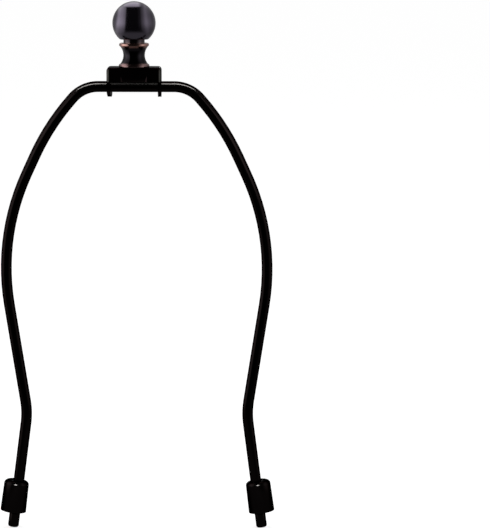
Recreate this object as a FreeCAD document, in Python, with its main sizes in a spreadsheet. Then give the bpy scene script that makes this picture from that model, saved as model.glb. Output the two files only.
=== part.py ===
# Lamp harp: a bent wire hoop that carries a lampshade over a bulb.
# Millimetres, +Z up, X across the hoop, origin midway between the ends of its two legs.
import FreeCAD, Part
import math
import os
import re
import Sketcher

doc = FreeCAD.newDocument("lamp_harp")

SIZES = [
    # alias, value, what it measures
    ("wire_diameter", 4.76, "round wire of the hoop"),
    ("run_height", 194.6, "axis of the flat run across the top"),
    ("run_past_saddle", 4.7, "flat run on each side of the saddle"),
    ("shoulder_bend", 14.6, "bend radius at the shoulder"),
    ("hip_step", 14.8, "corner under the shoulder, out from the shoulder's corner"),
    ("hip_drop", 16.8, "corner under the shoulder, below the flat run"),
    ("hip_straight", 0.7, "straight wire between the shoulder's bend and the hip's"),
    ("belly_step", 22.5, "corner at the widest part, out from the hip's corner"),
    ("belly_drop", 48.9, "corner at the widest part, below the hip's corner"),
    ("belly_straight", 8.5, "straight wire between the hip's bend and the belly's"),
    ("kink_step", 12.2, "corner where the legs turn out, in from the belly's corner"),
    ("kink_height", 51.5, "corner where the legs turn out, over the ends of the legs"),
    ("kink_bend", 36.0, "bend radius where the legs turn out"),
    ("foot_step", 6.7, "axis of a leg at its end, out from the kink's corner"),
    ("tip_round", 0.9, "rounding of a leg's end"),
    ("tip_length", 6.0, "round end of a leg under its pressed paddle"),
    ("paddle_width", 6.6, "wire spread by the press"),
    ("paddle_thickness", 2.4, "wire thinned by the press"),
    ("paddle_slope", 1.1, "run-out of the pressed flats at their lower end"),
    ("paddle_corner", 0.5, "corners of the ledge that a lock sleeve rests on"),
    ("rim_above_tip", 7.1, "lock sleeve's open rim over the leg's end, along the leg"),
    ("sleeve_length", 13.8, "lock sleeve, rim to closed end"),
    ("sleeve_rim_diameter", 11.3, "outside, at the open rim"),
    ("sleeve_top_diameter", 10.9, "outside, under the rounded shoulder"),
    ("sleeve_shoulder", 1.7, "rounding of the closed end"),
    ("sleeve_wall", 0.6, "drawn sheet"),
    ("sleeve_clearance", 0.09, "gap round the wire in the closed end"),
    ("sleeve_offset", 0.85, "cup's axis out from the wire, as its hole is punched off centre"),
    ("seat_over_run", 8.6, "top of the saddle, where a shade rests, over the flat run's axis"),
    ("saddle_length", 23.6, "hood, across the hoop"),
    ("saddle_depth", 12.0, "hood, front to back"),
    ("saddle_drop", 6.2, "height of the front and back walls"),
    ("saddle_wall", 1.5, "pressed sheet"),
    ("saddle_corner", 1.6, "upright corners of the hood"),
    ("saddle_edge", 1.5, "rounding of the hood's top edge"),
    ("saddle_offset", -0.85, "hood off the hoop's middle, as it has slid"),
    ("ear_half_width", 4.4, "ears that the wire goes through, and their end radius"),
    ("ear_clearance", 0.09, "gap round the wire in the ears"),
    ("crimp_length", 9.6, "pinch in the lower edge of the front and back walls"),
    ("crimp_run_out", 0.8, "slope at each end of the pinch"),
    ("crimp_height", 2.6, "pinch, above the lower edge"),
    ("crimp_depth", 0.6, "pinch, at the lower edge"),
    ("stud_diameter", 6.35, "over the thread's crests"),
    ("stud_height", 11.0, "stud over the seat"),
    ("stud_chamfer", 0.7, "lead at the stud's end"),
    ("stud_clearance", 0.05, "gap round the stud in the saddle's web"),
    ("rivet_diameter", 8.8, "head under the saddle's web"),
    ("rivet_thickness", 1.4, "head under the saddle's web"),
    ("thread_clearance", 0.06, "gap between the stud and the finial's bore"),
    ("bore_depth", 12.4, "tapped bore in the finial"),
    ("bore_point", 1.6, "drill point at the end of the bore"),
    ("flange_diameter", 13.3, "finial's lower flange"),
    ("flange_thickness", 1.25, "finial's lower flange"),
    ("waist_diameter", 9.3, "thinnest part of the cove"),
    ("cove_lip", 0.5, "step from the edge of each flange in to the cove"),
    ("collar_diameter", 12.9, "finial's upper flange"),
    ("collar_height", 8.8, "underside of the upper flange over the seat"),
    ("collar_thickness", 1.45, "finial's upper flange"),
    ("neck_diameter", 9.2, "neck between the upper flange and the ball"),
    ("neck_length", 1.65, "neck between the upper flange and the ball"),
    ("ball_diameter", 18.7, "ball"),
    ("ball_cut", 7.0, "flat under the ball, below its centre"),
    ("turned_edge", 0.35, "rounding of the finial's flanges"),
]
ALIASES = {alias for alias, _value, _meaning in SIZES}

sheet = doc.addObject("Spreadsheet::Sheet", "Sizes")
for row, (alias, value, meaning) in enumerate(SIZES, start=1):
    sheet.set(f"A{row}", alias)
    sheet.set(f"B{row}", str(value))
    sheet.setAlias(f"B{row}", alias)
    sheet.set(f"C{row}", meaning)
doc.recompute()

ROOT = (-1, 1)  # a sketch's own origin
ACROSS = -1  # a sketch's own axes
UPRIGHT = -2
NEAR = 1e-3  # millimetres, or cubic millimetres, that make no difference
SECTION_SHARE = 0.002  # how far a swept wire's volume may be from its section times its length

WIRE_RADIUS = "wire_diameter / 2"
SEAT = "(run_height + seat_over_run)"
SHOULDER_REACH = "(shoulder_bend * tan(atan(hip_drop / hip_step) / 2))"
HIP_RUN = "hypot(hip_step; hip_drop)"
HIP_REACH = f"({HIP_RUN} - {SHOULDER_REACH} - hip_straight)"
HIP_TURN = "(atan(hip_step / hip_drop) - atan(belly_step / belly_drop))"
BELLY_RUN = "hypot(belly_step; belly_drop)"
BELLY_REACH = f"({BELLY_RUN} - {HIP_REACH} - belly_straight)"
SHOULDER = f"(saddle_length / 2 + run_past_saddle + {SHOULDER_REACH})"
HIP = f"({SHOULDER} + hip_step)"
BELLY = f"({HIP} + belly_step)"
KINK = f"({BELLY} - kink_step)"
FOOT = f"({KINK} + foot_step)"
HIP_HEIGHT = "(run_height - hip_drop)"
BELLY_HEIGHT = f"({HIP_HEIGHT} - belly_drop)"
LEG_TURN = f"atan(kink_step / ({BELLY_HEIGHT} - kink_height))"
BELLY_TURN = f"(atan(belly_step / belly_drop) + {LEG_TURN})"
HIP_BEND = f"{HIP_REACH} / abs(tan({HIP_TURN} / 2))"
BELLY_BEND = f"{BELLY_REACH} / abs(tan({BELLY_TURN} / 2))"
LEAN = "atan(foot_step / kink_height)"


def cells(text):
    """An expression with each alias in it written as its cell."""
    return re.sub(r"[a-z_]+", lambda m: f"Sizes.{m[0]}" if m[0] in ALIASES else m[0], text)


def measure(text):
    """What an expression comes to, in millimetres or degrees."""
    got = sheet.evalExpression(cells(text))
    return float(getattr(got, "Value", got))


def bind(item, **expressions):
    """Drives properties of an object; a double underscore stands for a dot."""
    for name, text in expressions.items():
        item.setExpression(name.replace("__", "."), cells(text))
    doc.recompute()


def new_body(name):
    body = doc.addObject("PartDesign::Body", name)
    body.Label = name
    return body


def own_plane(body, role):
    return next(o for o in body.Origin.OriginFeatures if o.Role == role)


def new_sketch(body, name, role, lift=None):
    """A sketch on one of the body's own planes, lifted off it by an expression."""
    sketch = body.newObject("Sketcher::SketchObject", name)
    sketch.AttachmentSupport = [(own_plane(body, role), "")]
    sketch.MapMode = "FlatFace"
    if lift:
        sketch.setExpression("AttachmentOffset.Base.z", cells(lift))
    doc.recompute()
    return sketch


def vector(across, up):
    return FreeCAD.Vector(measure(across), measure(up), 0)


def size(sketch, kind, refs, text):
    """A driving constraint that reads an expression; a negative distance is turned round."""
    amount = measure(text)
    if amount < 0:
        refs = refs[2:] + refs[:2]
        text = f"-({text})"
    index = sketch.addConstraint(Sketcher.Constraint(kind, *refs, abs(amount)))
    sketch.setExpression(f"Constraints[{index}]", cells(text))


def pin_across(sketch, geo, pos, across):
    if across == "0":
        sketch.addConstraint(Sketcher.Constraint("PointOnObject", geo, pos, UPRIGHT))
    else:
        size(sketch, "DistanceX", (*ROOT, geo, pos), across)


def pin_up(sketch, geo, pos, up):
    if up == "0":
        sketch.addConstraint(Sketcher.Constraint("PointOnObject", geo, pos, ACROSS))
    else:
        size(sketch, "DistanceY", (*ROOT, geo, pos), up)


def pin(sketch, geo, pos, across, up):
    pin_across(sketch, geo, pos, across)
    pin_up(sketch, geo, pos, up)


def outline(sketch, points, arcs=()):
    """A closed outline through points; arcs maps a side's number to its bulge point and centre.

    The centre is (across, up), with None for what the side's two ends already settle.
    """
    arcs = dict(arcs)
    first = sketch.GeometryCount
    count = len(points)
    for side, (start, end) in enumerate(zip(points, points[1:] + points[:1])):
        if side in arcs:
            shape = Part.Arc(vector(*start), vector(*arcs[side][0]), vector(*end))
        else:
            shape = Part.LineSegment(vector(*start), vector(*end))
        sketch.addGeometry(shape, False)
    ends = []
    for side, point in enumerate(points):
        geo = first + side
        start = vector(*point)
        near = sketch.getPoint(geo, 1).distanceToPoint(start) < NEAR
        ends.append((1, 2) if near else (2, 1))
    for side, point in enumerate(points):
        before = (side - 1) % count
        joint = (first + before, ends[before][1], first + side, ends[side][0])
        sketch.addConstraint(Sketcher.Constraint("Coincident", *joint))
        pin(sketch, first + side, ends[side][0], *point)
    for side, (_bulge, centre) in arcs.items():
        if centre[0] is not None:
            pin_across(sketch, first + side, 3, centre[0])
        if centre[1] is not None:
            pin_up(sketch, first + side, 3, centre[1])


def rectangle(sketch, half_across, half_up):
    corners = [(-1, -1), (1, -1), (1, 1), (-1, 1)]
    outline(sketch, [(f"{a}*({half_across})", f"{b}*({half_up})") for a, b in corners])


def circle(sketch, across, up, radius):
    shape = Part.Circle(vector(across, up), FreeCAD.Vector(0, 0, 1), measure(radius))
    geo = sketch.addGeometry(shape, False)
    pin(sketch, geo, 3, across, up)
    size(sketch, "Radius", (geo,), radius)


def bent_path(sketch, corners, bends):
    """Straight runs through the corners, joined by arcs tangent to them."""
    at = [vector(*corner) for corner in corners]
    run_ends = [at[0]]
    arcs = []
    for before, corner, after, bend in zip(at, at[1:], at[2:], bends):
        back = (before - corner).normalize()
        onward = (after - corner).normalize()
        half_turn = (math.pi - back.getAngle(onward)) / 2
        reach = measure(bend) * math.tan(half_turn)
        centre = corner + (back + onward).normalize() * (measure(bend) / math.cos(half_turn))
        start = corner + back * reach
        end = corner + onward * reach
        turns_left = back.cross(onward).z < 0
        low, high = (start, end) if turns_left else (end, start)
        angles = [math.atan2(*(spot - centre)[1::-1]) for spot in (low, high)]
        ring = Part.Circle(centre, FreeCAD.Vector(0, 0, 1), measure(bend))
        arcs.append((Part.ArcOfCircle(ring, *angles), (1, 2) if turns_left else (2, 1)))
        run_ends += [start, end]
    run_ends.append(at[-1])
    for start, end in zip(run_ends[::2], run_ends[1::2]):
        sketch.addGeometry(Part.LineSegment(start, end), False)
    runs = len(corners) - 1
    pin(sketch, 0, 1, *corners[0])
    pin(sketch, runs - 1, 2, *corners[-1])
    for number, ((arc, (entry, leaving)), bend) in enumerate(zip(arcs, bends)):
        geo = sketch.addGeometry(arc, False)
        sketch.addConstraint(Sketcher.Constraint("Tangent", number, 2, geo, entry))
        sketch.addConstraint(Sketcher.Constraint("Tangent", geo, leaving, number + 1, 1))
        size(sketch, "Radius", (geo,), bend)
        mark = sketch.addGeometry(Part.Point(at[number + 1]), True)
        pin(sketch, mark, 1, *corners[number + 1])
        sketch.addConstraint(Sketcher.Constraint("PointOnObject", mark, 1, number))
        sketch.addConstraint(Sketcher.Constraint("PointOnObject", mark, 1, number + 1))


def feature(body, kind, name, profile=None, **expressions):
    """A PartDesign feature with its profile and its driven properties."""
    item = body.newObject(f"PartDesign::{kind}", name)
    if profile:
        item.Profile = profile
    bind(item, **expressions)
    return item


def revolve(body, name, profile):
    item = feature(body, "Revolution", name, profile)
    item.ReferenceAxis = (profile, ["V_Axis"])
    item.Angle = 360
    doc.recompute()
    return item


def turned_about(*axis):
    """A placement about an axis, whose angle an expression then sets."""
    return FreeCAD.Placement(FreeCAD.Vector(), FreeCAD.Rotation(FreeCAD.Vector(*axis), 1))


def both_ways(item):
    """Centres a pad or pocket on its sketch."""
    item.SideType = "Symmetric"
    doc.recompute()
    return item


def mirror(body, name, features, role):
    """Repeats the features, or the whole shape where there are none, across an own plane."""
    item = body.newObject("PartDesign::Mirrored", name)
    item.MirrorPlane = (own_plane(body, role), [""])
    if features:
        item.Originals = features
    else:
        item.TransformMode = "Whole shape"
    body.Tip = item
    doc.recompute()


def round_edges(body, name, radius, chosen):
    """A fillet on the edges of the body's tip that chosen(edge) picks."""
    base = body.Tip
    names = [f"Edge{n}" for n, edge in enumerate(base.Shape.Edges, start=1) if chosen(edge)]
    assert names, f"{name} finds no edge"
    item = body.newObject("PartDesign::Fillet", name)
    item.Base = (base, names)
    bind(item, Radius=radius)
    return item


def cuts(body, before):
    """A pocket has to take something away."""
    assert body.Shape.Volume < before - NEAR, f"{body.Tip.Name} cuts nothing"


def harp_wire():
    """One length of wire, bent as a hoop, with a paddle pressed near each end."""
    body = new_body("harp_wire")
    path = new_sketch(body, "wire_axis", "XZ_Plane")
    corners = [
        ("0", "run_height"),
        (SHOULDER, "run_height"),
        (HIP, HIP_HEIGHT),
        (BELLY, BELLY_HEIGHT),
        (KINK, "kink_height"),
        (FOOT, "0"),
    ]
    bent_path(path, corners, ["shoulder_bend", HIP_BEND, BELLY_BEND, "kink_bend"])
    section = new_sketch(body, "wire_section", "YZ_Plane")
    circle(section, "0", "run_height", WIRE_RADIUS)
    doc.recompute()
    pipe = feature(body, "AdditivePipe", "bent_wire", section)
    pipe.Spine = (path, [f"Edge{n}" for n in range(1, len(path.Shape.Edges) + 1)])
    doc.recompute()
    half_length = path.Shape.Length
    swept = math.pi * measure(WIRE_RADIUS) ** 2 * half_length
    off = abs(pipe.Shape.Volume / swept - 1)
    assert off < SECTION_SHARE, "the bent wire has lost its section"

    def at_tip(edge):
        return edge.BoundBox.ZMax < measure("tip_length") / 2 and len(edge.Vertexes) < 3

    round_edges(body, "rounded_tip", "tip_round", at_tip)

    flats = new_sketch(body, "pressed_flats", "YZ_Plane")
    flats.AttachmentOffset = turned_about(1, 0, 0)
    flats.setExpression("AttachmentOffset.Base.z", cells(FOOT))
    flats.setExpression("AttachmentOffset.Rotation.Angle", cells(LEAN))
    ledge = "rim_above_tip + sleeve_length - sleeve_wall"
    for side in (-1, 1):
        face = f"{side} * paddle_thickness / 2"
        clear = f"{side} * wire_diameter"
        run_out = f"{side} * {WIRE_RADIUS}"
        outline(flats, [
            (run_out, "tip_length"),
            (face, "tip_length + paddle_slope"),
            (face, ledge),
            (clear, ledge),
            (clear, "tip_length"),
        ])
    before = body.Shape.Volume
    both_ways(feature(body, "Pocket", "flattened", flats, Length="2 * paddle_width"))
    cuts(body, before)

    wings = new_sketch(body, "paddle_outline", "XZ_Plane")
    wings.AttachmentOffset = turned_about(0, 0, 1)
    wings.setExpression("AttachmentOffset.Base.x", cells(FOOT))
    wings.setExpression("AttachmentOffset.Rotation.Angle", cells(LEAN))
    half = "paddle_width / 2"
    outline(wings, [
        (f"-{WIRE_RADIUS}", "tip_length"),
        (WIRE_RADIUS, "tip_length"),
        (half, "tip_length + paddle_slope"),
        (half, f"{ledge} - paddle_corner"),
        (f"{half} - paddle_corner", ledge),
        (f"-({half} - paddle_corner)", ledge),
        (f"-{half}", f"{ledge} - paddle_corner"),
        (f"-{half}", "tip_length + paddle_slope"),
    ])
    both_ways(feature(body, "Pad", "paddle", wings, Length="paddle_thickness"))

    mirror(body, "other_half", [], "YZ_Plane")
    return body


def lock_sleeve(name, side):
    """A drawn cup, open at the bottom, that hangs on the paddle's ledge by its closed end."""
    body = new_body(name)
    profile = new_sketch(body, f"{name}_profile", "XZ_Plane")
    rim = "sleeve_rim_diameter / 2"
    top = "sleeve_top_diameter / 2"
    hole = f"{WIRE_RADIUS} + sleeve_clearance"
    bend = "sleeve_shoulder"
    inner = "(sleeve_shoulder - sleeve_wall)"
    spring = "sleeve_length - sleeve_shoulder"
    middle = f"{top} - {bend}"
    halfway = "cos(45 deg)"
    outline(profile, [
        ("0", "sleeve_length"),
        ("0", "sleeve_length - sleeve_wall"),
        (middle, "sleeve_length - sleeve_wall"),
        (f"{top} - sleeve_wall", spring),
        (f"{rim} - sleeve_wall", "0"),
        (rim, "0"),
        (top, spring),
        (middle, "sleeve_length"),
    ], {
        2: ((f"{middle} + {inner} * {halfway}", f"{spring} + {inner} * {halfway}"), (middle, None)),
        6: ((f"{middle} + {bend} * {halfway}", f"{spring} + {bend} * {halfway}"), (middle, None)),
    })
    revolve(body, f"{name}_cup", profile)
    wire_way = new_sketch(body, f"{name}_wire_way", "XY_Plane")
    circle(wire_way, f"{-side} * sleeve_offset", "0", hole)
    before = body.Shape.Volume
    both_ways(feature(body, "Pocket", f"{name}_hole", wire_way, Length="4 * sleeve_length"))
    cuts(body, before)
    body.Placement = turned_about(0, 1, 0)
    out = f"{FOOT} - rim_above_tip * sin({LEAN}) + sleeve_offset * cos({LEAN})"
    bind(
        body,
        Placement__Base__x=f"{side} * ({out})",
        Placement__Base__z=f"rim_above_tip * cos({LEAN}) + sleeve_offset * sin({LEAN})",
        Placement__Rotation__Angle=f"-{side} * {LEAN}",
    )
    return body


def top_saddle():
    """A pressed hood over the flat run, with an ear at each end that the wire goes through."""
    body = new_body("top_saddle")
    plan = new_sketch(body, "hood_plan", "XY_Plane", SEAT)
    rectangle(plan, "saddle_length / 2", "saddle_depth / 2")
    hood = feature(body, "Pad", "hood", plan, Length="saddle_drop")
    hood.Reversed = True
    doc.recompute()
    top = measure(SEAT)

    def upright(edge):
        return edge.BoundBox.ZLength > measure("saddle_drop") / 2

    round_edges(body, "hood_corners", "saddle_corner", upright)
    round_edges(body, "hood_edge", "saddle_edge", lambda edge: edge.BoundBox.ZMin > top - NEAR)

    hollow = new_sketch(body, "hollow_plan", "XY_Plane", f"{SEAT} - saddle_wall")
    rectangle(hollow, "saddle_length / 2 - saddle_wall", "saddle_depth / 2 - saddle_wall")
    before = body.Shape.Volume
    feature(body, "Pocket", "hollow", hollow, Length="saddle_drop")
    cuts(body, before)

    wall_foot = f"{SEAT} - saddle_drop"
    pinches = []
    for name, kind, face in (
        ("pinch_outside", "SubtractiveWedge", "-saddle_depth / 2"),
        ("pinch_inside", "AdditiveWedge", "-saddle_depth / 2 + saddle_wall"),
    ):
        pinches.append(feature(
            body, kind, name,
            Xmin="-crimp_length / 2 - crimp_run_out", Xmax="crimp_length / 2 + crimp_run_out",
            X2min="-crimp_length / 2", X2max="crimp_length / 2",
            Ymin=face, Ymax=f"{face} + crimp_depth",
            Zmin=wall_foot, Zmax=f"{wall_foot} + crimp_height",
            Z2min=wall_foot, Z2max=wall_foot,
        ))
    mirror(body, "pinched_walls", pinches, "XZ_Plane")

    ear = new_sketch(body, "ear_outline", "YZ_Plane", "saddle_length / 2 - saddle_wall")
    outline(ear, [
        ("-ear_half_width", wall_foot),
        ("-ear_half_width", "run_height"),
        ("ear_half_width", "run_height"),
        ("ear_half_width", wall_foot),
    ], {1: (("0", "run_height - ear_half_width"), (None, "run_height"))})
    ear_pad = feature(body, "Pad", "ear", ear, Length="saddle_wall")
    mirror(body, "ears", [ear_pad], "YZ_Plane")

    wire_way = new_sketch(body, "wire_way", "YZ_Plane")
    circle(wire_way, "0", "run_height", f"{WIRE_RADIUS} + ear_clearance")
    before = body.Shape.Volume
    both_ways(feature(body, "Pocket", "ear_holes", wire_way, Length="2 * saddle_length"))
    cuts(body, before)

    web = new_sketch(body, "stud_hole_plan", "XY_Plane", SEAT)
    circle(web, "0", "0", "stud_diameter / 2 + stud_clearance")
    before = body.Shape.Volume
    feature(body, "Pocket", "stud_hole", web, Length="2 * saddle_wall")
    cuts(body, before)
    bind(body, Placement__Base__x="saddle_offset")
    return body


def finial_stud():
    """A threaded stud that stands in the saddle's web, riveted over underneath."""
    body = new_body("finial_stud")
    profile = new_sketch(body, "stud_profile", "XZ_Plane")
    crest = "stud_diameter / 2"
    outline(profile, [
        ("0", "-saddle_wall - rivet_thickness"),
        ("rivet_diameter / 2", "-saddle_wall - rivet_thickness"),
        ("rivet_diameter / 2", "-saddle_wall"),
        (crest, "-saddle_wall"),
        (crest, "stud_height - stud_chamfer"),
        (f"{crest} - stud_chamfer", "stud_height"),
        ("0", "stud_height"),
    ])
    revolve(body, "stud", profile)

    def rivet_foot(edge):
        low = edge.BoundBox.ZMax < -measure("saddle_wall + rivet_thickness") + NEAR
        return low and edge.BoundBox.XLength > measure(crest)

    round_edges(body, "rivet_head", "rivet_thickness / 2", rivet_foot)
    bind(body, Placement__Base__x="saddle_offset", Placement__Base__z=SEAT)
    return body


def finial():
    """One turned piece: lower flange, cove, upper flange, neck and ball over a tapped bore."""
    body = new_body("finial")
    profile = new_sketch(body, "finial_profile", "XZ_Plane")
    bore = "stud_diameter / 2 + thread_clearance"
    flange = "flange_diameter / 2"
    collar = "collar_diameter / 2"
    waist = "waist_diameter / 2"
    neck = "neck_diameter / 2"
    cove_foot = "flange_thickness"
    cove_top = "collar_height"
    cove_foot_radius = f"{flange} - cove_lip"
    cove_top_radius = f"{collar} - cove_lip"
    cove_middle = "(flange_thickness + collar_height) / 2"
    cove_half = "((collar_height - flange_thickness) / 2)"
    sag = f"(({cove_foot_radius} + {cove_top_radius}) / 2 - {waist})"
    cove_centre = f"{waist} + ({cove_half} ^ 2 + {sag} ^ 2) / (2 * {sag})"
    neck_foot = "collar_height + collar_thickness"
    ball_foot = f"{neck_foot} + neck_length"
    centre = f"{ball_foot} + ball_cut"
    cut_radius = "sqrt((ball_diameter / 2) ^ 2 - ball_cut ^ 2)"
    outline(profile, [
        (bore, "0"),
        (flange, "0"),
        (flange, cove_foot),
        (cove_foot_radius, cove_foot),
        (cove_top_radius, cove_top),
        (collar, cove_top),
        (collar, neck_foot),
        (neck, neck_foot),
        (neck, ball_foot),
        (cut_radius, ball_foot),
        ("0", f"{centre} + ball_diameter / 2"),
        ("0", "bore_depth + bore_point"),
        (bore, "bore_depth"),
    ], {
        3: ((waist, cove_middle), (cove_centre, None)),
        9: (("ball_diameter / 2", centre), (None, centre)),
    })
    revolve(body, "turned", profile)

    def flange_rim(edge):
        rims = (measure(flange), measure(collar))
        round_edge = len(edge.Vertexes) == 1 and edge.BoundBox.ZLength < NEAR
        return round_edge and any(abs(edge.BoundBox.XLength / 2 - rim) < NEAR for rim in rims)

    round_edges(body, "flange_rims", "turned_edge", flange_rim)
    bind(body, Placement__Base__x="saddle_offset", Placement__Base__z=SEAT)
    return body


pieces = [
    harp_wire(),
    lock_sleeve("left_lock_sleeve", -1),
    lock_sleeve("right_lock_sleeve", 1),
    top_saddle(),
    finial_stud(),
    finial(),
]
doc.recompute()

for item in doc.Objects:
    faults = {"Invalid", "Error"} & set(item.State)
    assert not faults, f"{item.Name} is {faults}"
    if item.isDerivedFrom("Sketcher::SketchObject"):
        assert item.FullyConstrained, f"{item.Name} can still move"

os.makedirs("parts", exist_ok=True)
for body in pieces:
    shape = body.Shape
    assert not shape.isNull() and shape.isValid(), f"{body.Label} has no sound shape"
    assert len(shape.Solids) == 1, f"{body.Label} is not one solid"
for body in pieces:
    body.Shape.exportStep(f"parts/{body.Label}.step")
    box = body.Shape.BoundBox
    low = f"{box.XMin:.2f} {box.YMin:.2f} {box.ZMin:.2f}"
    high = f"{box.XMax:.2f} {box.YMax:.2f} {box.ZMax:.2f}"
    print(f"{body.Label}: {body.Shape.Volume:.0f} mm3, from {low} to {high}")
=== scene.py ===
import math

import bmesh
import bpy
from mathutils import Matrix, Vector


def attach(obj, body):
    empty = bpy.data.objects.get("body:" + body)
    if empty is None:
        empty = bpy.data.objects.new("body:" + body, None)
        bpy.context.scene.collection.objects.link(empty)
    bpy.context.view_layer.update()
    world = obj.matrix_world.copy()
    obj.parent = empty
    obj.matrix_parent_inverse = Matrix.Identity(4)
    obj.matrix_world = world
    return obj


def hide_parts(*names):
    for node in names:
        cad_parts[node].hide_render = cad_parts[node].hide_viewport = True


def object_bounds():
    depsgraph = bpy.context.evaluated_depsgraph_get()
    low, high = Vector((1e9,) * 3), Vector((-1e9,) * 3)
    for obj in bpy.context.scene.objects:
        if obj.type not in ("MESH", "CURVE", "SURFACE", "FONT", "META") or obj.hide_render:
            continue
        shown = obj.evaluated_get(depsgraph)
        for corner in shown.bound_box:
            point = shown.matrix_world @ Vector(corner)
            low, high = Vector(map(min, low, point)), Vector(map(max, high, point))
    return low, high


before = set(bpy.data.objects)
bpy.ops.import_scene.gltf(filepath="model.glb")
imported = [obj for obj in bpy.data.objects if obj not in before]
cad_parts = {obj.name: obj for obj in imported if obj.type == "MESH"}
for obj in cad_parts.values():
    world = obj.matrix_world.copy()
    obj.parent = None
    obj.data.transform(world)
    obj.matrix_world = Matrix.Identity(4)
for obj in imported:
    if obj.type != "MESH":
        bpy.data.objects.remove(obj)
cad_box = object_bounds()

# The hoop: one length of 4.76 mm (3/16 inch) steel wire, bent cold round formers, with a
# paddle pressed near each end. It is plated black bronze and lacquered, so it is near
# black and glossy. Only half is bent here, and the other half mirrors it.
MM = 0.001
SAME_PLACE = 0.001 * MM  # points nearer than this are one point
WIRE_RADIUS, WIRE_SIDES = 2.38 * MM, 48
RUN_HEIGHT = 194.6 * MM
SADDLE_LENGTH = 23.6 * MM
FLAT_HALF = SADDLE_LENGTH / 2 + 4.7 * MM
SHOULDER_BEND = 14.6 * MM
HIP_STEP, HIP_DROP, HIP_STRAIGHT = 14.8 * MM, 16.8 * MM, 0.7 * MM
BELLY_STEP, BELLY_DROP, BELLY_STRAIGHT = 22.5 * MM, 48.9 * MM, 8.5 * MM
KINK_STEP, KINK_HEIGHT, KINK_BEND = 12.2 * MM, 51.5 * MM, 36.0 * MM
FOOT_STEP = 6.7 * MM
BEND_STEP = math.radians(2.5)

# The corners that the bends round off, and how far each bend reaches along its runs.
top_middle = Vector((0, 0, RUN_HEIGHT))
shoulder_turn = math.atan2(HIP_DROP, HIP_STEP)
shoulder_reach = SHOULDER_BEND * math.tan(shoulder_turn / 2)
top_corner = Vector((FLAT_HALF + shoulder_reach, 0, RUN_HEIGHT))
hip_corner = top_corner + Vector((HIP_STEP, 0, -HIP_DROP))
belly_corner = hip_corner + Vector((BELLY_STEP, 0, -BELLY_DROP))
kink_corner = Vector((belly_corner.x - KINK_STEP, 0, KINK_HEIGHT))
foot = Vector((kink_corner.x + FOOT_STEP, 0, 0))
hip_reach = (hip_corner - top_corner).length - shoulder_reach - HIP_STRAIGHT
belly_reach = (belly_corner - hip_corner).length - hip_reach - BELLY_STRAIGHT
kink_turn = (kink_corner - belly_corner).angle(foot - kink_corner)
kink_reach = KINK_BEND * math.tan(kink_turn / 2)


def run_on(bm, loop, step):
    """Draws the open end of a tube on along a straight step and returns its new end."""
    drawn = bmesh.ops.extrude_edge_only(bm, edges=loop)["geom"]
    moved = [item for item in drawn if isinstance(item, bmesh.types.BMVert)]
    bmesh.ops.translate(bm, verts=moved, vec=step)
    return [item for item in drawn if isinstance(item, bmesh.types.BMEdge) and item.is_boundary]


def bend_on(bm, loop, before, corner, after, reach):
    """Bends the open end of a tube round a corner and returns its new end."""
    back, onward = (before - corner).normalized(), (after - corner).normalized()
    turn = math.pi - back.angle(onward)
    centre = corner + (back + onward).normalized() * reach / math.sin(turn / 2)
    axis = onward.cross(back).normalized()
    steps = max(4, round(turn / BEND_STEP))
    bent = bmesh.ops.spin(
        bm, geom=loop, cent=centre, axis=axis, angle=turn, steps=steps, use_duplicate=False
    )
    return [item for item in bent["geom_last"] if isinstance(item, bmesh.types.BMEdge)]


def round_off(bm, edges, size, steps, **settings):
    """Rounds edges off to a size, in a number of steps."""
    bmesh.ops.bevel(
        bm, geom=edges, offset=size, segments=steps, profile=0.5, affect="EDGES", material=-1,
        **settings,
    )


wire = bmesh.new()
first_ring = bmesh.ops.create_circle(wire, segments=WIRE_SIDES, radius=WIRE_RADIUS)["verts"]
facing = Matrix.Translation(top_middle) @ Matrix.Rotation(math.pi / 2, 4, "Y")
bmesh.ops.transform(wire, matrix=facing, verts=first_ring)
loop = run_on(wire, wire.edges[:], Vector((FLAT_HALF, 0, 0)))
corners = [top_middle, top_corner, hip_corner, belly_corner, kink_corner, foot]
reaches = [shoulder_reach, hip_reach, belly_reach, kink_reach]
for number, reach in enumerate(reaches):
    before, corner, after = corners[number:number + 3]
    loop = bend_on(wire, loop, before, corner, after, reach)
    if corner != kink_corner:
        straight = (after - corner).length - reach - reaches[number + 1]
        loop = run_on(wire, loop, (after - corner).normalized() * straight)

# The paddle: the press thins the wire to 2.4 mm and spreads it to 6.6 mm over a
# short length, which leaves the ledge that a lock sleeve hangs on. The last 6 mm
# stay round, with the end's edge tumbled smooth.
PADDLE_THICK, PADDLE_WIDE = 2.4 * MM, 6.6 * MM
PADDLE_TOP, PADDLE_FOOT, PADDLE_SLOPE = 20.3 * MM, 6.0 * MM, 1.1 * MM
LEDGE_STEP, LEDGE_CORNER = 0.1 * MM, 0.5 * MM
TIP_ROUND = 0.9 * MM

down_leg = (foot - kink_corner).normalized()
lean = math.atan2(FOOT_STEP, KINK_HEIGHT)
across_leg = Vector((math.cos(lean), 0, math.sin(lean)))


def press(ring, height, wide, thick):
    """Presses a round ring of the wire, at a height up the leg, to a width and a thickness."""
    centre = foot - down_leg * height
    for vert in ring:
        off = vert.co - centre
        out = off.dot(across_leg) * wide / (2 * WIRE_RADIUS)
        deep = max(-thick / 2, min(thick / 2, off.y))
        vert.co = centre + across_leg * out + Vector((0, deep, 0))


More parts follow.
